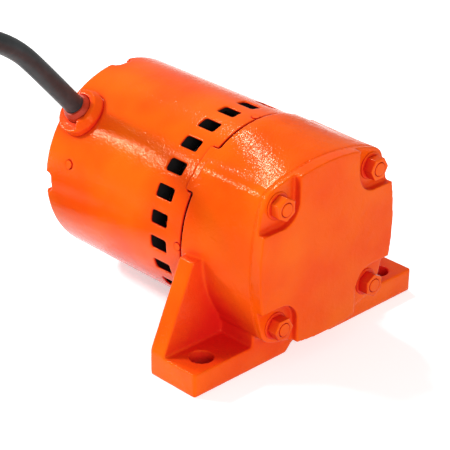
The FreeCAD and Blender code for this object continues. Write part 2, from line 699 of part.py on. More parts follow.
def entry_collar():
    """Round collar on the shell, hollowed below to sit on its curve."""
    body = entry_body("entry_collar")
    sketch = new_sketch(body, "XY_Plane", "%s - 3 * shell_wall" % ENTRY_RISE)
    circle(sketch, "entry_radius")
    circle(sketch, "entry_socket")
    pad(body, sketch, "3 * shell_wall + entry_height", False)
    saddle = new_sketch(body, "XZ_Plane", "-entry_radius - 1")
    circle(saddle, "shell_radius", "-(%s)" % ENTRY_ACROSS, "0")
    pocket(body, saddle, "2 * entry_radius + 2")
    top = "(%s + entry_height)" % ENTRY_RISE
    slope = "(1.6 * entry_round)"
    turned(body, [(top, "entry_radius - entry_round"), (top, "entry_radius"),
                  ("%s - %s" % (top, slope), "entry_radius")], kind="Groove", upright=True)
    return body


CORD_START = "(%s + entry_height + sleeve_nose - sleeve_length)" % ENTRY_RISE


def cord_strain_relief():
    """Sleeve in the collar, tapered where the cord leaves it."""
    body = entry_body("cord_strain_relief")
    end, nose = "(%s + sleeve_length)" % CORD_START, "(sleeve_radius - sleeve_taper)"
    turned(body, [(CORD_START, "cord_radius + thread_gap"), (end, "cord_radius + thread_gap"),
                  (end, nose), ("%s - sleeve_nose" % end, "sleeve_radius"),
                  (CORD_START, "sleeve_radius")],
           upright=True)
    return body


# ---------------------------------------------------------------- end bell, tie bolts
BUSH_RIM = "(motor_shaft_radius + run_clearance + bush_wall)"
BOSS_RIM = "(%s + bush_boss_wall)" % BUSH_RIM
RIM_BORE = "(%s - bell_rib)" % SHELL_FIT
BUSH_REAR_END = "(%s + bush_length)" % BUSH_REAR
BUSH_FRONT = "(shield_station - 2)"


def rear_end_bell():
    """Domed end casting: bush boss inside, vents, and four bolt recesses."""
    body = new_body("rear_end_bell")
    crown = "(%s + bell_dome)" % BELL_BACK
    turned(body, [(BUSH_REAR, BUSH_RIM), (BUSH_REAR_END, BUSH_RIM), (BUSH_REAR_END, "0"),
                  (crown, "0"), (crown, "%s + 3" % BOSS_RIM), (BELL_BACK, "tie_circle - bell_rib"),
                  (BELL_BACK, "shell_radius - 2 * bell_lip"),
                  ("%s - bell_lip / 3" % BELL_BACK, "shell_radius - bell_lip"),
                  ("shell_rear", "shell_radius - bell_lip / 2"),
                  ("shell_rear", SHELL_FIT),
                  ("%s - bell_rib" % BELL_FRONT, SHELL_FIT),
                  ("%s - bell_rib" % BELL_FRONT, RIM_BORE), (BELL_FRONT, RIM_BORE),
                  (BELL_FRONT, "tie_circle - bell_rib"),
                  ("%s + bell_dome" % BELL_FRONT, "%s + 3" % BOSS_RIM),
                  ("%s + bell_dome" % BELL_FRONT, BOSS_RIM), (BUSH_REAR, BOSS_RIM)])
    vent = new_sketch(body, station=BELL_FRONT, turn="180 / vent_count")
    sector(vent, "(%s + 7)" % BOSS_RIM, "(tie_circle - bell_rib - 3)", "vent_half_angle")
    around(body, [pocket(body, vent, "bell_plate + bell_dome")], "vent_count")
    recess = new_sketch(body, station=SCALLOP_FLOOR)
    rectangle(recess, "-scallop_half_width", "scallop_inner",
              "scallop_half_width", "shell_radius + 1")
    around(body, [pocket(body, recess, "scallop_depth + bell_lip + bell_dome")], "4")
    passage = new_sketch(body, station="%s - bell_rib" % BELL_FRONT, turn="entry_angle - 90")
    half = "(sleeve_radius + 5 * fit_gap)"
    rectangle(passage, "-" + half, "slot_outer", half, "shell_radius")
    pocket(body, passage, "entry_station + %s - %s + bell_rib" % (half, BELL_FRONT))
    tie = new_sketch(body, station="%s - bell_rib" % BELL_FRONT)
    circle(tie, "tie_radius + hole_clearance", "0", "tie_circle")
    around(body, [pocket(body, tie, "bell_rib + bell_plate")], "4")
    return body


def tie_bolts():
    body = new_body("tie_bolts")
    start = "(joint_station - tie_engagement)"
    shank = new_sketch(body, station=start)
    circle(shank, "tie_radius", "0", "tie_circle")
    head = new_sketch(body, station=SCALLOP_FLOOR)
    hexagon(head, "tie_head_flats", "0", "tie_circle")
    parts = [pad(body, shank, "%s - %s" % (SCALLOP_FLOOR, start)),
             pad(body, head, "tie_head_height")]
    around(body, parts, "4")
    return body


# ---------------------------------------------------------------- eccentric
def ball_bearing(place, front):
    """Outer ring, ball cage and inner ring, each a node of its own."""
    outer_bore = "bearing_rim - race_wall"
    inner_rim = "bearing_bore + race_wall"
    ring(place + "_bearing_outer_ring", front, "bearing_width", outer_bore, "bearing_rim")
    ring(place + "_bearing_ball_cage", "%s + 1" % front, "bearing_width - 2",
         inner_rim + " + fit_gap", outer_bore + " - fit_gap")
    ring(place + "_bearing_inner_ring", front, "bearing_width", "bearing_bore", inner_rim)


def eccentric_shaft():
    body = new_body("eccentric_shaft")
    turned(body, [("%s - 1" % FRONT_BEARING, "0"), ("%s - 1" % FRONT_BEARING, "bearing_bore"),
                  (BOSS_END, "bearing_bore"), (BOSS_END, "shaft_shoulder"),
                  (REAR_BEARING, "shaft_shoulder"), (REAR_BEARING, "bearing_bore"),
                  (COUPLING_FRONT, "bearing_bore"), (COUPLING_FRONT, "stub_radius"),
                  (JAWS_FRONT, "stub_radius"), (JAWS_FRONT, "0")])
    keyway = new_sketch(body, "XY_Plane", "shaft_shoulder - key_depth")
    rectangle(keyway, "-key_width / 2", BOSS_END, "key_width / 2", REAR_BEARING)
    pocket(body, keyway, "2 * key_depth", True)
    return body


FRONT_WEIGHT = "(%s + weight_gap)" % BOSS_END
REAR_WEIGHT = "(%s - weight_gap - weight_thickness)" % REAR_BEARING


def eccentric_weight(label, front):
    """Half-disc weight on a hub with a keyway; it hangs down at rest."""
    body = new_body(label)
    hub = new_sketch(body, station=front)
    circle(hub, "weight_hub")
    pad(body, hub, "weight_thickness")
    half_disc = new_sketch(body, station=front, turn="180")
    sector(half_disc, "weight_hub", "weight_radius", "weight_half_angle")
    pad(body, half_disc, "weight_thickness")
    bore = new_sketch(body, station=front)
    circle(bore, "shaft_shoulder")
    pocket(body, bore, "weight_thickness")
    keyway = new_sketch(body, station=front)
    rectangle(keyway, "-key_width / 2", "0", "key_width / 2", "shaft_shoulder + key_depth")
    pocket(body, keyway, "weight_thickness")
    return body


def weight_key():
    body = new_body("weight_key")
    key = new_sketch(body, "XY_Plane", "shaft_shoulder - key_depth")
    rectangle(key, "-key_width / 2", BOSS_END, "key_width / 2", REAR_BEARING)
    pad(body, key, "2 * key_depth", False)
    return body


def weight_spacer():
    """Split ring between the weights, open where the key passes."""
    front = "(%s + weight_thickness)" % FRONT_WEIGHT
    body = ring("weight_spacer", front, "%s - %s" % (REAR_WEIGHT, front),
                "shaft_shoulder", "weight_hub")
    slot = new_sketch(body, station=front)
    rectangle(slot, "-key_width / 2", "0", "key_width / 2", "weight_hub + 1")
    pocket(body, slot, "%s - %s" % (REAR_WEIGHT, front))
    return body


# ---------------------------------------------------------------- flexible coupling
def coupling_hub(label, disc_front, jaws_front, turn):
    body = ring(label, disc_front, "coupling_plate", "stub_radius", "coupling_radius")
    jaw = new_sketch(body, station=jaws_front, turn=turn)
    sector(jaw, "(stub_radius + fit_gap)", "coupling_radius", "jaw_half_angle")
    around(body, [pad(body, jaw, "jaw_length")], "3")
    return body


def coupling_spider():
    """Rubber star between the jaws of the two hubs."""
    body = new_body("coupling_spider")
    front = "%s + fit_gap" % JAWS_FRONT
    core = new_sketch(body, station=front)
    circle(core, "(stub_radius + fit_gap) * cos(jaw_half_angle) - fit_gap")
    pad(body, core, "jaw_length")
    leg = new_sketch(body, station=front, turn="30")
    sector(leg, "(stub_radius / 2)", "(coupling_radius - fit_gap)", "leg_half_angle")
    around(body, [pad(body, leg, "jaw_length")], "6")
    return body


# ---------------------------------------------------------------- motor inside
def cooling_fan():
    """Hub with slanted blades whose tips show in the windows."""
    body = ring("cooling_fan", "fan_front", "fan_length", "motor_shaft_radius", "fan_hub")
    blade = new_sketch(body, "XY_Plane", "fan_hub - 1")
    front, end, half = "fan_front", "fan_front + fan_length", "blade_thickness / 2"
    polygon(blade, [("-blade_sweep - " + half, front), ("-blade_sweep + " + half, front),
                    ("blade_sweep + " + half, end), ("blade_sweep - " + half, end)])
    around(body, [pad(body, blade, "fan_radius - fan_hub + 1", False)], "blade_count")
    return body


def front_end_shield():
    """Spoked plate in the shell that carries the front bush."""
    body = new_body("front_end_shield")
    plate_end = "(shield_station + shield_thickness)"
    bush_end = "(%s + bush_length)" % BUSH_FRONT
    turned(body, [(BUSH_FRONT, BUSH_RIM), (bush_end, BUSH_RIM), (bush_end, BOSS_RIM),
                  (plate_end, BOSS_RIM), (plate_end, RIM_BORE),
                  ("shield_station + shield_rim", RIM_BORE),
                  ("shield_station + shield_rim", SHELL_FIT),
                  ("shield_station", SHELL_FIT), ("shield_station", BOSS_RIM),
                  (BUSH_FRONT, BOSS_RIM)])
    opening = new_sketch(body, station="shield_station", turn="lug_phase")
    sector(opening, "(%s + 6)" % BOSS_RIM, "(%s - 4)" % RIM_BORE, "opening_half_angle")
    around(body, [pocket(body, opening, "shield_thickness")], "4")
    tie = new_sketch(body, station="shield_station")
    circle(tie, "tie_radius + hole_clearance", "0", "tie_circle")
    around(body, [pocket(body, tie, "shield_rim")], "4")
    return body


def motor_shaft():
    body = new_body("motor_shaft")
    step_front = "(%s + bush_length + fit_gap)" % BUSH_FRONT
    step_rear = "(%s - fit_gap)" % BUSH_REAR
    end = "(%s - 1)" % BUSH_REAR_END
    turned(body, [(JAWS_END, "0"), (JAWS_END, "motor_shaft_radius"),
                  (step_front, "motor_shaft_radius"), (step_front, "rotor_shaft_radius"),
                  (step_rear, "rotor_shaft_radius"), (step_rear, "motor_shaft_radius"),
                  (end, "motor_shaft_radius"), (end, "0")])
    return body


STATOR_END = "(stator_front + stator_length)"
ROTOR_RIM = "(stator_bore - air_gap)"


def rotor_end_rings():
    body = new_body("rotor_end_rings")
    outlines = []
    for front in ("(stator_front - end_ring_length)", STATOR_END):
        end, rim = "(%s + end_ring_length)" % front, "(%s - 1)" % ROTOR_RIM
        outlines.append([(front, "%s - end_ring_wall" % rim), (end, "%s - end_ring_wall" % rim),
                         (end, rim), (front, rim)])
    turned(body, *outlines)
    return body


def stator_core():
    """Laminated ring with winding slots, notched outside for the tie bolts."""
    body = new_body("stator_core")
    stack = new_sketch(body, station="stator_front")
    circle(stack, "%s - thread_gap" % SHELL_BORE)
    circle(stack, "stator_bore")
    pad(body, stack, "stator_length")
    notch = new_sketch(body, station="stator_front")
    rectangle(notch, "-tie_radius - 1", "tie_circle - tie_radius - 1",
              "tie_radius + 1", "shell_radius")
    around(body, [pocket(body, notch, "stator_length")], "4")
    slot = new_sketch(body, station="stator_front", turn="180 / slot_count")
    rectangle(slot, "-slot_half_width", "slot_inner", "slot_half_width", "slot_outer")
    around(body, [pocket(body, slot, "stator_length")], "slot_count")
    return body


def stator_winding():
    """End turns in front and behind, joined by the wires in the slots."""
    body = new_body("stator_winding")
    bore, rim = "(slot_inner + fit_gap)", "(slot_outer - fit_gap)"
    for front in ("stator_front - overhang", STATOR_END):
        turns = new_sketch(body, station=front)
        circle(turns, bore)
        circle(turns, rim)
        pad(body, turns, "overhang")
    wires = new_sketch(body, station="stator_front", turn="180 / slot_count")
    rectangle(wires, "-slot_half_width + fit_gap", "%s + fit_gap" % bore,
              "slot_half_width - fit_gap", "%s - 3 * fit_gap" % rim)
    around(body, [pad(body, wires, "stator_length")], "slot_count")
    return body


# ---------------------------------------------------------------- cord
ROUTE_REST = [(-99, 141, 178), (-148, 141, 193), (-195, 138, 176), (-222, 134, 138),
              (-228, 131, 94), (-229, 142, 54), (-229, 168, 24), (-226, 201, 8.5),
              (-223.4, 232, 6.4)]


def entry_point(rise):
    """A point on the axis of the cord entry, this far up its own Z axis."""
    body = doc.getObject("cord_strain_relief")
    return body.Placement.multVec(Vector(0, 0, size(rise)))


def cord_route():
    """From inside the sleeve, out along its axis, over and down into the coil."""
    points = [entry_point(CORD_START), entry_point("%s + cord_straight" % CORD_START)]
    return points + [Vector(*point) for point in ROUTE_REST]


def rounded_path(points):
    """Straight runs joined by the largest tangent arcs that they leave room for."""
    edges, here = [], points[0]
    for before, corner, after in zip(points, points[1:], points[2:]):
        back, ahead = (before - corner).normalize(), (after - corner).normalize()
        half_turn = (math.pi - back.getAngle(ahead)) / 2
        reach = 0.45 * min(corner.distanceToPoint(before), corner.distanceToPoint(after))
        radius = reach / math.tan(half_turn)
        start, end = corner + back * reach, corner + ahead * reach
        middle = corner + (back + ahead).normalize() * radius * (1 / math.cos(half_turn) - 1)
        print("cord bend radius %.1f, turn %.1f degrees" % (radius, math.degrees(2 * half_turn)))
        edges += [Part.LineSegment(here, start).toShape(), Part.Arc(start, middle, end).toShape()]
        here = end
    edges.append(Part.LineSegment(here, points[-1]).toShape())
    return Part.Wire(edges)


def power_cord():
    """The stretch of cord from the strain relief to the coil, as a round tube."""
    points = cord_route()
    path = rounded_path(points)
    ahead = points[1] - points[0]
    section = Part.Wire(Part.Circle(points[0], ahead, size("cord_radius")).toShape())
    cord = doc.addObject("Part::Feature", "power_cord")
    cord.Label = "power_cord"
    cord.Shape = path.makePipeShell([section], True, False)
    expected = math.pi * size("cord_radius") ** 2 * path.Length
    print("cord tube %.1f long, volume over section times length %.5f"
          % (path.Length, cord.Shape.Volume / expected))
    return cord


COIL_HALF = "(2 * cord_radius)"


def cord_coil():
    """The put-away length: four turns side by side and on each other."""
    body = new_body("cord_coil", "0", "coil_across", "coil_along")
    inner, outer = "(coil_mid_radius - %s)" % COIL_HALF, "(coil_mid_radius + %s)" % COIL_HALF
    top, cut = "4 * cord_radius", "coil_round"
    turned(body, [("0", inner), ("0", outer), ("%s - %s" % (top, cut), outer),
                  (top, "%s - %s" % (outer, cut)), (top, "%s + %s" % (inner, cut)),
                  ("%s - %s" % (top, cut), inner)], upright=True)
    return body


def plug_body(label):
    """An empty body whose Y axis is the plug's, lying along the top of the coil."""
    return new_body(label, "4 * cord_radius + fit_gap + plug_radius",
                    "coil_across - coil_mid_radius", "coil_along - plug_offset")


PLUG_END = "(plug_nose + plug_length)"


def power_plug():
    body = plug_body("power_plug")
    turned(body, [("0", "0"), ("0", "(plug_nose_radius + cord_radius) / 2"),
                  ("plug_nose", "plug_nose_radius"), ("1.2 * plug_nose", "plug_radius"),
                  (PLUG_END, "plug_radius"), (PLUG_END, "0")])
    return body


def plug_pins():
    """Two flat pins and a round one, side by side on the plug's face."""
    body = plug_body("plug_pins")
    flat, earth = new_sketch(body, station=PLUG_END), new_sketch(body, station=PLUG_END)
    for side in ("-blade_offset", "blade_offset"):
        rectangle(flat, side + " - blade_half_thickness", "-blade_half_width",
                  side + " + blade_half_thickness", "blade_half_width")
    pad(body, flat, "pin_reach")
    circle(earth, "earth_pin_radius", "0", "-earth_pin_offset")
    pad(body, earth, "pin_reach + blade_half_width")
    return body


# ---------------------------------------------------------------- build, check, export
def plain_rings():
    """The pieces that are one ring each."""
    for place, front in (("front", FRONT_BEARING), ("rear", REAR_BEARING)):
        ball_bearing(place, front)
    ring("shaft_seal", "%s + bearing_width + fit_gap" % REAR_BEARING, "seal_width",
         "bearing_bore + fit_gap", "seal_rim")
    for label, front in (("front_motor_bush", BUSH_FRONT), ("rear_motor_bush", BUSH_REAR)):
        ring(label, front, "bush_length", "motor_shaft_radius + run_clearance", BUSH_RIM)
    ring("rotor_core", "stator_front", "stator_length", "rotor_shaft_radius", ROTOR_RIM)


for build in (eccentric_housing, front_cover, cover_gasket, cover_studs, cover_nuts,
              cover_washers, motor_shell, shell_screws, shell_rivet, rear_end_bell,
              tie_bolts, front_end_shield, plain_rings, eccentric_shaft, weight_key,
              weight_spacer, coupling_spider, motor_shaft, cooling_fan, rotor_end_rings,
              stator_core, stator_winding, entry_collar, cord_strain_relief, power_cord,
              cord_coil, power_plug, plug_pins):
    build()
eccentric_weight("front_weight", FRONT_WEIGHT)
eccentric_weight("rear_weight", REAR_WEIGHT)
coupling_hub("driven_coupling_hub", COUPLING_FRONT, JAWS_FRONT, "0")
coupling_hub("driving_coupling_hub", JAWS_END, "%s - jaw_length" % JAWS_END, "60")
doc.recompute()

for item in doc.Objects:
    if {"Invalid", "Error"} & set(item.State):
        raise RuntimeError("%s is %s" % (item.Name, item.State))

os.makedirs("parts", exist_ok=True)
for piece in doc.Objects:
    if piece.TypeId != "PartDesign::Body" and piece.Label != "power_cord":
        continue
    if piece.Shape.isNull() or not piece.Shape.isValid():
        raise RuntimeError("%s has no valid shape" % piece.Label)
    piece.Shape.exportStep("parts/%s.step" % piece.Label)
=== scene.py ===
import json
import math

import bmesh
import bpy
from mathutils import Matrix, Vector, noise

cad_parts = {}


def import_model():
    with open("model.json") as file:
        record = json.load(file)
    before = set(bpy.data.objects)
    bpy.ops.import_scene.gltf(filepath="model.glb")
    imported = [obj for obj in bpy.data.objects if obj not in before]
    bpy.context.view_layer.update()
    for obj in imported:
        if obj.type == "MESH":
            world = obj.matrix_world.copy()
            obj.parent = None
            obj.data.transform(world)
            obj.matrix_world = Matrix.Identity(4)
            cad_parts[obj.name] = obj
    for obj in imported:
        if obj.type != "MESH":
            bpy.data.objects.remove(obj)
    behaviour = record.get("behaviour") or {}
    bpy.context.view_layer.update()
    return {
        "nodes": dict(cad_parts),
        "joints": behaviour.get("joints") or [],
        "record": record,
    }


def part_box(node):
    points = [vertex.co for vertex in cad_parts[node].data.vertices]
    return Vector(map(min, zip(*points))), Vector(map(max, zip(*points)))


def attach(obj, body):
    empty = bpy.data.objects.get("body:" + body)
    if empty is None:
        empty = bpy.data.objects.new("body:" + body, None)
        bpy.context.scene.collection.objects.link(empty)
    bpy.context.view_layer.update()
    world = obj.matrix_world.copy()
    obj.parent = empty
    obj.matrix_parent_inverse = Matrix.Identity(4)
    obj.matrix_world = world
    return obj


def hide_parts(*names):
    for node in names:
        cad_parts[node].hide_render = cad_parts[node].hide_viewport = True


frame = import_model()

# Everything is in metres in the CAD frame: +Z up, +Y from the front cover along
# the shaft line to the motor, +X to the right seen from the front.
MM = 0.001
AXIS_HEIGHT = frame["joints"][0]["pos_m"][2]


# ---------------------------------------------------------------- camera
# The sensor's width in millimetres, and how far the camera sees in metres.
SENSOR_WIDTH = 36
FARTHEST = 20


def camera(azimuth, elevation, roll, target, distance, focal, shift):
    """A camera that looks at target from a direction, angles in degrees."""
    az, el, tilt = (math.radians(angle) for angle in (azimuth, elevation, roll))
    back = Vector((math.sin(az) * math.cos(el), -math.cos(az) * math.cos(el), math.sin(el)))
    right = Vector((math.cos(az), math.sin(az), 0))
    up = back.cross(right)
    level = Matrix((right, up, back)).transposed()
    data = bpy.data.cameras.new("camera")
    data.lens = focal
    data.sensor_width = SENSOR_WIDTH
    data.shift_x, data.shift_y = shift
    data.clip_end = FARTHEST
    holder = bpy.data.objects.new("camera", data)
    holder.matrix_world = (Matrix.Translation(Vector(target) + back * distance)
                           @ level.to_4x4() @ Matrix.Rotation(tilt, 4, "Z"))
    bpy.context.scene.collection.objects.link(holder)
    bpy.context.scene.camera = holder


camera(azimuth=-44.08, elevation=27.19, roll=0.35, target=(-0.0251, 0.0368, 0.0692),
       distance=1.1197, focal=149.8, shift=(0.0082, 0.0007))


# ---------------------------------------------------------------- materials
class Look:
    """A node material with one shader and short ways to add detail to it."""

    def __init__(self, name, **sockets):
        self.material = bpy.data.materials.new(name)
        self.material.use_nodes = True
        self.tree = self.material.node_tree
        self.shader = self.tree.nodes["Principled BSDF"]
        for socket, value in sockets.items():
            self.shader.inputs[socket.replace("_", " ")].default_value = value
        self.place = self.tree.nodes.new("ShaderNodeTexCoord").outputs["Object"]
        self.normal = None

    def noise(self, size, detail=2.0, roughness=0.5, distortion=0.0):
        """Soft noise whose lumps are about this size, in millimetres."""
        node = self.tree.nodes.new("ShaderNodeTexNoise")
        node.inputs["Scale"].default_value = 1 / (size * MM)
        node.inputs["Detail"].default_value = detail
        node.inputs["Roughness"].default_value = roughness
        node.inputs["Distortion"].default_value = distortion
        self.tree.links.new(self.place, node.inputs["Vector"])
        return node.outputs["Fac"]

    def ramp(self, source, low, high, first=(0, 0, 0, 1), last=(1, 1, 1, 1)):
        """One colour below low, another above high, and a blend between them."""
        node = self.tree.nodes.new("ShaderNodeValToRGB")
        node.color_ramp.elements[0].position = low
        node.color_ramp.elements[1].position = high
        node.color_ramp.elements[0].color = first
        node.color_ramp.elements[1].color = last
        self.tree.links.new(source, node.inputs["Fac"])
        return node.outputs["Color"]

    def bump(self, height, depth):
        """Adds relief this deep, in millimetres, on top of what is there."""
        node = self.tree.nodes.new("ShaderNodeBump")
        node.inputs["Distance"].default_value = depth * MM
        self.tree.links.new(height, node.inputs["Height"])
        if self.normal:
            self.tree.links.new(self.normal, node.inputs["Normal"])
        self.normal = node.outputs["Normal"]
        for socket in ("Normal", "Coat Normal"):
            self.tree.links.new(self.normal, self.shader.inputs[socket])

    def drive(self, source, socket):
        """Lets a node's output set one of the shader's sockets."""
        self.tree.links.new(source, self.shader.inputs[socket])


def shade(colour, factor):
    """A lighter or darker version of a colour."""
    return tuple(channel * factor for channel in colour[:3]) + (1,)


ORANGE = (0.95, 0.124, 0.0035, 1)
ORANGE_WARM = (0.91, 0.076, 0.0025, 1)
# Painted shade: the darker red that the paint takes in corners and hollows.
ORANGE_IN_SHADE = (0.68, 0.011, 0.0090, 1)
SHEEN = (1, 0.55, 0.22, 1)
# Painted shade: near black, for the inside of the motor shell, seen dark through its windows.
DARK_INSIDE = (0.003, 0.002, 0.002, 1)

# The space inside the motor shell, in millimetres: its radius about the shaft
# line, and where it starts and ends along that line.
SHELL_INSIDE = 62.4
SHELL_FRONT = 29.3
SHELL_REAR = 150.0


def inside_shade_mask(look):
    """One inside the motor shell, where a near black painted shade stands for the dark inside,
    and zero elsewhere.
    """
    nodes, links = look.tree.nodes, look.tree.links
    parts = nodes.new("ShaderNodeSeparateXYZ")
    links.new(look.place, parts.inputs["Vector"])

    def step(kind, first, second, third=None):
        node = nodes.new("ShaderNodeMath")
        node.operation = kind
        for socket, value in zip(node.inputs, (first, second, third)):
            if isinstance(value, (int, float)):
                socket.default_value = value
            elif value is not None:
                links.new(value, socket)
        return node.outputs[0]

    rise = step("SUBTRACT", parts.outputs["Z"], AXIS_HEIGHT)
    squares = step("MULTIPLY_ADD", rise, rise, step("POWER", parts.outputs["X"], 2.0))
    near_axis = step("LESS_THAN", squares, (SHELL_INSIDE * MM) ** 2)
    behind = step("GREATER_THAN", parts.outputs["Y"], SHELL_FRONT * MM)
    before = step("LESS_THAN", parts.outputs["Y"], SHELL_REAR * MM)
    return step("MULTIPLY", near_axis, step("MULTIPLY", behind, before))


def mixed(look, factor, first, second):
    """A colour between two, which are sockets or plain colours."""
    node = look.tree.nodes.new("ShaderNodeMix")
    node.data_type = "RGBA"
    look.tree.links.new(factor, node.inputs["Factor"])
    for socket, value in zip((node.inputs[6], node.inputs[7]), (first, second)):
        if isinstance(value, tuple):
            socket.default_value = value
        else:
            look.tree.links.new(value, socket)
    return node.outputs[2]


# Patches of the two oranges are this large, in millimetres. Each pair gives the
# noise, or the openness where the painted shade fades out, at which one colour
# starts to give way, and has given way.
PAINT_PATCH = 42
PATCH_EDGES = (0.32, 0.64)
SHADE_EDGES = (0.45, 0.95)


def paint(name, lump, depth, fine_depth, own_corners=False, shade_reach=46.0):
    """Thick gloss orange with orange peel, and painted shade, a darker red, in
    corners and hollows. The lumps are this large and deep, with finer ones on
    them, and the painted shade counts what stands within its reach, all in
    millimetres. With own_corners, the corners that the piece makes with its neighbours don't
    count."""
    look = Look(name, Roughness=0.16, Specular_IOR_Level=0.14, Specular_Tint=SHEEN)
    field = look.ramp(look.noise(PAINT_PATCH), *PATCH_EDGES, ORANGE_WARM, ORANGE)
    # Painted shade: where ambient occlusion finds corners and hollows close by, the colour turns
    # a darker red.
    open_air = look.tree.nodes.new("ShaderNodeAmbientOcclusion")
    open_air.samples = 4
    open_air.only_local = own_corners
    open_air.inputs["Distance"].default_value = shade_reach * MM
    shade_amount = look.ramp(open_air.outputs["AO"], *SHADE_EDGES)
    shaded_coat = mixed(look, shade_amount, ORANGE_IN_SHADE, field)
    # Painted shade: inside the motor shell the colour is near black.
    look.drive(mixed(look, inside_shade_mask(look), shaded_coat, DARK_INSIDE), "Base Color")
    look.bump(look.noise(lump, distortion=0.3), depth)
    look.bump(look.noise(lump / 3, detail=1, roughness=0.7), fine_depth)
    return look.material


def mottled(look, size, colour, darkest, lightest):
    """Covers a look in darker and lighter patches of its colour."""
    patches = look.ramp(look.noise(size, detail=4), 0.3, 0.7,
                        shade(colour, darkest), shade(colour, lightest))
    look.drive(patches, "Base Color")


def rubber(name, colour, roughness):
    """Dull rubber or plastic with a fine grain."""
    look = Look(name, Roughness=roughness, Specular_IOR_Level=0.3)
    mottled(look, 7, colour, darkest=0.75, lightest=1.25)
    look.bump(look.noise(0.9, detail=3), 0.06)
    return look.material


def metal(name, colour, roughness, grain=0.4):
    """Bare metal whose grain is this large, in millimetres."""
    look = Look(name, Metallic=1.0, Roughness=roughness)
    mottled(look, 9, colour, darkest=0.8, lightest=1.1)
    look.bump(look.noise(grain, detail=4), 0.03)
    return look.material


def laminated(name, colour, sheets=5):
    """Steel sheets stacked along the shaft line."""
    look = Look(name, Metallic=1.0, Roughness=0.5)
    wave = look.tree.nodes.new("ShaderNodeTexWave")
    wave.bands_direction = "Y"
    wave.inputs["Scale"].default_value = 1 / (sheets * MM)
    look.tree.links.new(look.place, wave.inputs["Vector"])
    edges = look.ramp(wave.outputs["Fac"], 0.2, 0.6, shade(colour, 0.5), shade(colour, 1))
    look.drive(edges, "Base Color")
    look.bump(wave.outputs["Fac"], 0.1)
    return look.material


MATERIALS = {
    "painted_casting": paint("painted_casting", lump=4.5, depth=0.12, fine_depth=0.20,
                             own_corners=True, shade_reach=62.0),
    "painted_shell": paint("painted_shell", lump=4.5, depth=0.08, fine_depth=0.17),
    "painted_hardware": paint("painted_hardware", lump=4.0, depth=0.10, fine_depth=0.08),
    "bare_casting": metal("bare_casting", (0.62, 0.63, 0.65), 0.45, grain=1.2),
    "bearing_steel": metal("bearing_steel", (0.66, 0.67, 0.70), 0.18),
    "shaft_steel": metal("shaft_steel", (0.55, 0.56, 0.58), 0.28),
    "core_steel": laminated("core_steel", (0.20, 0.20, 0.22)),
    "weight_iron": metal("weight_iron", (0.13, 0.13, 0.14), 0.5, grain=1.5),
    "bronze": metal("bronze", (0.72, 0.47, 0.17), 0.3),
    "copper_wire": metal("copper_wire", (0.55, 0.16, 0.06), 0.35),
    "fan_plastic": rubber("fan_plastic", (0.60, 0.035, 0.03), 0.45),
    "sleeve_rubber": rubber("sleeve_rubber", (0.46, 0.030, 0.006), 0.5),
    "black_rubber": rubber("black_rubber", (0.026, 0.028, 0.030), 0.55),
    "cord_rubber": rubber("cord_rubber", (0.030, 0.034, 0.036), 0.38),
}

for part in frame["record"]["subparts"]:
    mesh = frame["nodes"][part["node"]].data
    mesh.materials.clear()
    mesh.materials.append(MATERIALS[part["material_slot"]])
# Painted shade: the front end shield, seen through the shell's windows, is coloured near black
# to stand for the shade inside.
shield = frame["nodes"]["front_end_shield"].data
shield.materials[0] = rubber("shade_black_casting", (0.006, 0.005, 0.005), 0.8)


def eased(low, high, share):
    """Between low and high, slow at both ends."""
    share = min(max(share, 0), 1)
    return low + (high - low) * share * share * (3 - 2 * share)


def dressed(piece, slot, body="motor_body"):
    """Gives a new piece its finish and the body that it rides on."""
    piece.data.materials.clear()
    piece.data.materials.append(MATERIALS[slot])
    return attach(piece, body)


# ---------------------------------------------------------------- painted pieces
# The sizes of the paint's unevenness, in millimetres.
LUMP = 6.0
FINE_LUMP = 2.4


def skinned(piece, kind, **settings):
    """The piece's mesh with one modifier applied to it."""
    step = piece.modifiers.new("step", kind)
    for name, value in settings.items():
        setattr(step, name, value)
    graph = bpy.context.evaluated_depsgraph_get()
    piece.data = bpy.data.meshes.new_from_object(piece.evaluated_get(graph))
    piece.modifiers.clear()


def softened(node, slot, voxel, passes, relief, thin=1.0, keep=None, swell=0.0,
             shape=None, rounder=None, extra=0):
    """Stands for a CAD node as thick paint leaves it: skinned anew on a fine
    grid, rounded at its edges and a little uneven. Where keep(point) holds, the
    surface stays as it is, so that it still closes on its neighbour, and where
    rounder(point) holds, it is smoothed some extra times. shape(point) moves a
    point first, swell moves the skin out, and thin is the share of the faces
    that is kept."""
    piece = bpy.data.objects.new("coated_" + node, frame["nodes"][node].data.copy())
    bpy.context.scene.collection.objects.link(piece)
    skinned(piece, "REMESH", mode="VOXEL", voxel_size=voxel * MM)
    form = bmesh.new()
    form.from_mesh(piece.data)
    free = [v for v in form.verts if not (keep and keep(v.co))]
    if shape:
        for vert in free:
            vert.co = shape(vert.co)
    for turns, some in ((extra, [v for v in free if rounder and rounder(v.co)]), (passes, free)):
        for _ in range(turns):
            bmesh.ops.smooth_vert(form, verts=some, factor=0.5,
                                  use_axis_x=True, use_axis_y=True, use_axis_z=True)
    form.normal_update()
    for vert in free:
        lump = noise.noise(vert.co / (LUMP * MM))
        lump += 0.5 * noise.noise(vert.co / (FINE_LUMP * MM))
        vert.co += vert.normal * ((swell + lump * relief) * MM)
    form.to_mesh(piece.data)
    form.free()
    if thin < 1:
        skinned(piece, "DECIMATE", ratio=thin)
    piece.data.polygons.foreach_set("use_smooth", [True] * len(piece.data.polygons))
    dressed(piece, slot)
    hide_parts(node)


GASKET_STATION = (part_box("cover_gasket")[0][1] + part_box("cover_gasket")[1][1]) / 2
COLLAR_MIDDLE = Vector((-44.5, 140.2, 115.1)) * MM
COLLAR_AXIS = Vector((math.cos(math.radians(130)), 0, math.sin(math.radians(130))))
COLLAR_UP = Vector((COLLAR_AXIS.z, 0, -COLLAR_AXIS.x))

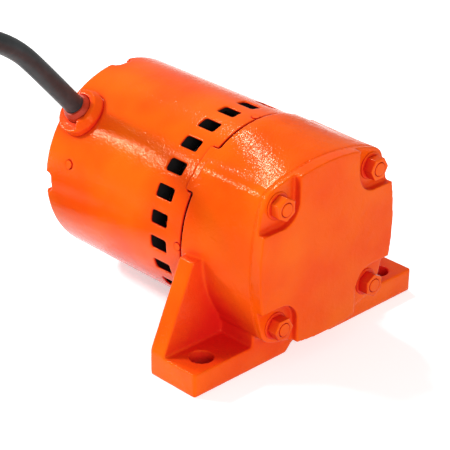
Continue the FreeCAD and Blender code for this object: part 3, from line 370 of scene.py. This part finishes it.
# The collar's ledge is this high, in millimetres. Its lip is centred this far
# round from the front, in degrees, with this half angle, and fades over the last.
LEDGE = 3.0
LIP_TURN = 35
LIP_HALF = 82
LIP_FADE = 22

# Where a casting keeps its surface, or is smoothed more, in millimetres: the
# reach of the cover's joint, then the shoulder's least radius, the top of the
# gussets, and stations along the shaft line.
GASKET_REACH = 1.2
SHOULDER_RADIUS = 52
GUSSET_TOP = 74
SHOULDER_FRONT, SHOULDER_REAR = -14, 28
RIM_STATION = 149


def at_gasket(point):
    """Near the flat joint between cover and housing."""
    return abs(point.y - GASKET_STATION) < GASKET_REACH * MM


def on_shoulder(point):
    """The housing's outer skin above its feet, behind the cover."""
    away = math.hypot(point.x, point.z - AXIS_HEIGHT)
    along = SHOULDER_FRONT * MM < point.y < SHOULDER_REAR * MM
    return away > SHOULDER_RADIUS * MM and point.z > GUSSET_TOP * MM and along


def at_rear_rim(point):
    """The shell's rolled rear edge."""
    return point.y > RIM_STATION * MM


def lipped(point):
    """Leaves the collar high on its front and upper side, and elsewhere a ledge."""
    out = point - COLLAR_MIDDLE
    rise = out.dot(COLLAR_AXIS)
    around = math.degrees(math.atan2(out.dot(COLLAR_UP), -out.y)) - LIP_TURN
    apart = abs((around + 180) % 360 - 180)
    share = eased(0, 1, (apart - LIP_HALF) / LIP_FADE)
    top = min(rise, LEDGE * MM)
    return point + COLLAR_AXIS * (top - rise) * share


# The studs' distance from the shaft line, to each side and up and down, in
# millimetres, then the nuts' seat, and the share of its height that a nut keeps.
STUD_OFFSET = 38.9
NUT_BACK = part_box("cover_nuts")[1][1]
NUT_SHARE = 0.87
PLUG_LOW, PLUG_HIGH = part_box("power_plug")

# Along the plug from the cord's end, in millimetres: where its sleeve ends, and
# where the grooves of its body are. A ring's or groove's pitch is in millimetres
# too, and its depth is a share of the radius.
SLEEVE_END = 22
SLEEVE_PITCH = 5.5
SLEEVE_DEPTH = 0.07
GRIP_START, GRIP_END = 30, 60
GRIP_PITCH = 7.5
GRIP_DEPTH = 0.05


def slimmed(share):
    """Draws the cover's hardware in to this share of its width, and lowers it."""
    def move(point):
        stud = Vector((math.copysign(STUD_OFFSET * MM, point.x), point.y,
                       AXIS_HEIGHT + math.copysign(STUD_OFFSET * MM, point.z - AXIS_HEIGHT)))
        moved = stud + (point - stud) * share
        moved.y = point.y + max(0, NUT_BACK - point.y) * (1 - NUT_SHARE)
        return moved
    return move


def gripped(point):
    """Rings round the plug's sleeve and finger grooves round its body."""
    axis = Vector(((PLUG_LOW.x + PLUG_HIGH.x) / 2, point.y, (PLUG_LOW.z + PLUG_HIGH.z) / 2))
    along = (point.y - PLUG_LOW.y) / MM
    groove = 0
    if along < SLEEVE_END:
        groove = SLEEVE_DEPTH * max(0, math.sin(along * 2 * math.pi / SLEEVE_PITCH))
    elif GRIP_START < along < GRIP_END:
        groove = GRIP_DEPTH * max(0, math.sin((along - GRIP_START) * 2 * math.pi / GRIP_PITCH))
    return axis + (point - axis) * (1 - groove)


softened("eccentric_housing", "painted_casting", voxel=0.75, passes=3, relief=0.10, thin=0.4,
         keep=at_gasket, rounder=on_shoulder, extra=40)
softened("front_cover", "painted_casting", voxel=0.6, passes=3, relief=0.08, thin=0.4,
         keep=at_gasket)
softened("cover_gasket", "painted_casting", voxel=0.4, passes=1, relief=0.02, thin=0.3,
         swell=0.42)
softened("motor_shell", "painted_shell", voxel=0.7, passes=2, relief=0.04, thin=0.3,
         rounder=at_rear_rim, extra=8)
softened("rear_end_bell", "painted_casting", voxel=0.8, passes=4, relief=0.06, thin=0.4)
softened("entry_collar", "painted_hardware", voxel=0.4, passes=8, relief=0.06, shape=lipped)
for hardware, share in (("cover_washers", 0.94), ("cover_nuts", 0.90), ("cover_studs", 0.86)):
    softened(hardware, "painted_hardware", voxel=0.4, passes=4, relief=0.03,
             shape=slimmed(share))
softened("power_plug", "black_rubber", voxel=0.8, passes=4, relief=0.02, thin=0.5,
         shape=gripped)


# ---------------------------------------------------------------- cord
# Points and lengths are in millimetres. The route runs from inside the collar
# over to the floor, where the coil takes it up.
CORD_RADIUS = 6.4
ROUTE = [(-37.44, 140.2, 106.66), (-67.01, 140.2, 141.9), (-99, 141, 178), (-148, 141, 193),
         (-195, 138, 176), (-222, 134, 138), (-228, 131, 94), (-229, 142, 54),
         (-229, 168, 24), (-226, 201, 8.5)]
COIL_MIDDLE = Vector((-153, 228.5, 0))
COIL_RADII = (70.4, 57.6, 57.6, 70.4)
COIL_LAYERS = (6.4, 6.4, 19.2, 19.2)
STEPS = 16

# Each turn moves over to the next one's radius and layer in this last share of
# it. The line rises to the plug over the share of a turn below, and ends the
# next share short of a full last turn, at this radius and height.
MOVE_SHARE = 0.25
RISE_SHARE = 0.3
PLUG_BEHIND = 13.5 / 360
PLUG_REACH = 64.0
PLUG_HEIGHT = 43.4


def coil_points():
    """Four turns: out and in on the floor, then in and out on top of them, and
    at the end a rise to the plug, which lies on the coil."""
    turns = len(COIL_RADII)
    points = []
    for step in range(1, turns * STEPS + 1):
        gone = min(step / STEPS, turns - PLUG_BEHIND)
        turn = min(int(gone), turns - 1)
        ahead = min(turn + 1, turns - 1)
        shift = (gone - turn - (1 - MOVE_SHARE)) / MOVE_SHARE
        radius = eased(COIL_RADII[turn], COIL_RADII[ahead], shift)
        height = eased(COIL_LAYERS[turn], COIL_LAYERS[ahead], shift)
        last = (gone - turns + RISE_SHARE + PLUG_BEHIND) / RISE_SHARE
        radius = eased(radius, PLUG_REACH, last)
        height = eased(height, PLUG_HEIGHT, last)
        angle = math.pi - 2 * math.pi * gone
        across = Vector((math.cos(angle), math.sin(angle), 0)) * radius
        points.append(COIL_MIDDLE + across + Vector((0, 0, height)))
    return points


def cord_line(name, points, bevel):
    """A curve whose NURBS line has these control points, in millimetres."""
    data = bpy.data.curves.new(name, "CURVE")
    data.dimensions = "3D"
    data.bevel_depth = bevel * MM
    data.bevel_resolution = 8
    data.use_fill_caps = True
    data.resolution_u = 8
    spline = data.splines.new("NURBS")
    spline.points.add(len(points) - 1)
    for slot, point in zip(spline.points, points):
        slot.co = (*(Vector(point) * MM), 1)
    spline.order_u = 3
    spline.use_endpoint_u = True
    piece = bpy.data.objects.new(name, data)
    bpy.context.scene.collection.objects.link(piece)
    return piece


cord = cord_line("supply_cord", ROUTE + coil_points(), CORD_RADIUS)
dressed(cord, "cord_rubber")
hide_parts("power_cord", "cord_coil")


# ---------------------------------------------------------------- floor and light
# The floor's half width is in metres, and its drop under the feet in
# millimetres. The sky is white, but lights the object at DAYLIGHT.
WHITE = (1, 1, 1, 1)
FLOOR_GREY = (0.86, 0.86, 0.86, 1)
FLOOR_GLOW = 0.55
FLOOR_HALF = 6
FLOOR_DROP = 0.6
DAYLIGHT = 0.28
MIRRORED_SKY = 0.2


def seen(tree, plain, level, mirrored=1.0):
    """A strength: level where the camera sees it, plain where it lights the
    object, and in a reflection a share between them."""
    nodes, links = tree.nodes, tree.links
    path = nodes.new("ShaderNodeLightPath")
    share = nodes.new("ShaderNodeMath")
    share.operation = "MULTIPLY_ADD"
    share.inputs[1].default_value = mirrored
    links.new(path.outputs["Is Glossy Ray"], share.inputs[0])
    links.new(path.outputs["Is Camera Ray"], share.inputs[2])
    mix = nodes.new("ShaderNodeMix")
    mix.inputs["A"].default_value = plain
    mix.inputs["B"].default_value = level
    links.new(share.outputs[0], mix.inputs["Factor"])
    return mix.outputs["Result"]


def floor():
    """A pale sheet just under the feet, which keeps the shadow."""
    data = bpy.data.meshes.new("floor")
    sheet = bmesh.new()
    bmesh.ops.create_grid(sheet, x_segments=2, y_segments=2, size=FLOOR_HALF)
    sheet.to_mesh(data)
    sheet.free()
    piece = bpy.data.objects.new("floor", data)
    piece.location.z = -FLOOR_DROP * MM
    bpy.context.scene.collection.objects.link(piece)
    look = Look("floor", Roughness=0.9, Base_Color=FLOOR_GREY,
                Emission_Color=WHITE, Specular_IOR_Level=0.1)
    look.drive(seen(look.tree, 0.0, FLOOR_GLOW), "Emission Strength")
    data.materials.append(look.material)


def world():
    """A white background, which lights the object less than it shows."""
    lit = bpy.data.worlds.new("studio")
    bpy.context.scene.world = lit
    lit.use_nodes = True
    tree = lit.node_tree
    background = tree.nodes["Background"]
    background.inputs["Color"].default_value = WHITE
    strength = seen(tree, DAYLIGHT, 1.0, MIRRORED_SKY)
    tree.links.new(strength, background.inputs["Strength"])


LAMPS_AT = (0, 0.05, 0.07)


def softbox(name, place, width, height, power):
    """A rectangular lamp turned to the object, in metres and watts."""
    data = bpy.data.lights.new(name, "AREA")
    data.shape = "RECTANGLE"
    data.size, data.size_y = width, height
    data.energy = power
    holder = bpy.data.objects.new(name, data)
    holder.location = place
    towards = Vector(LAMPS_AT) - Vector(place)
    holder.rotation_euler = towards.to_track_quat("-Z", "Y").to_euler()
    bpy.context.scene.collection.objects.link(holder)


floor()
world()
softbox("left_light", (-0.62, 0.92, 0.77), width=0.24, height=0.12, power=13.0)
softbox("top_light", (0.30, 0.70, 1.20), width=0.14, height=0.14, power=7.3)
softbox("front_light", (-0.75, -1.25, 0.6), width=0.6, height=0.6, power=14)
bpy.context.scene.view_settings.view_transform = "Standard"
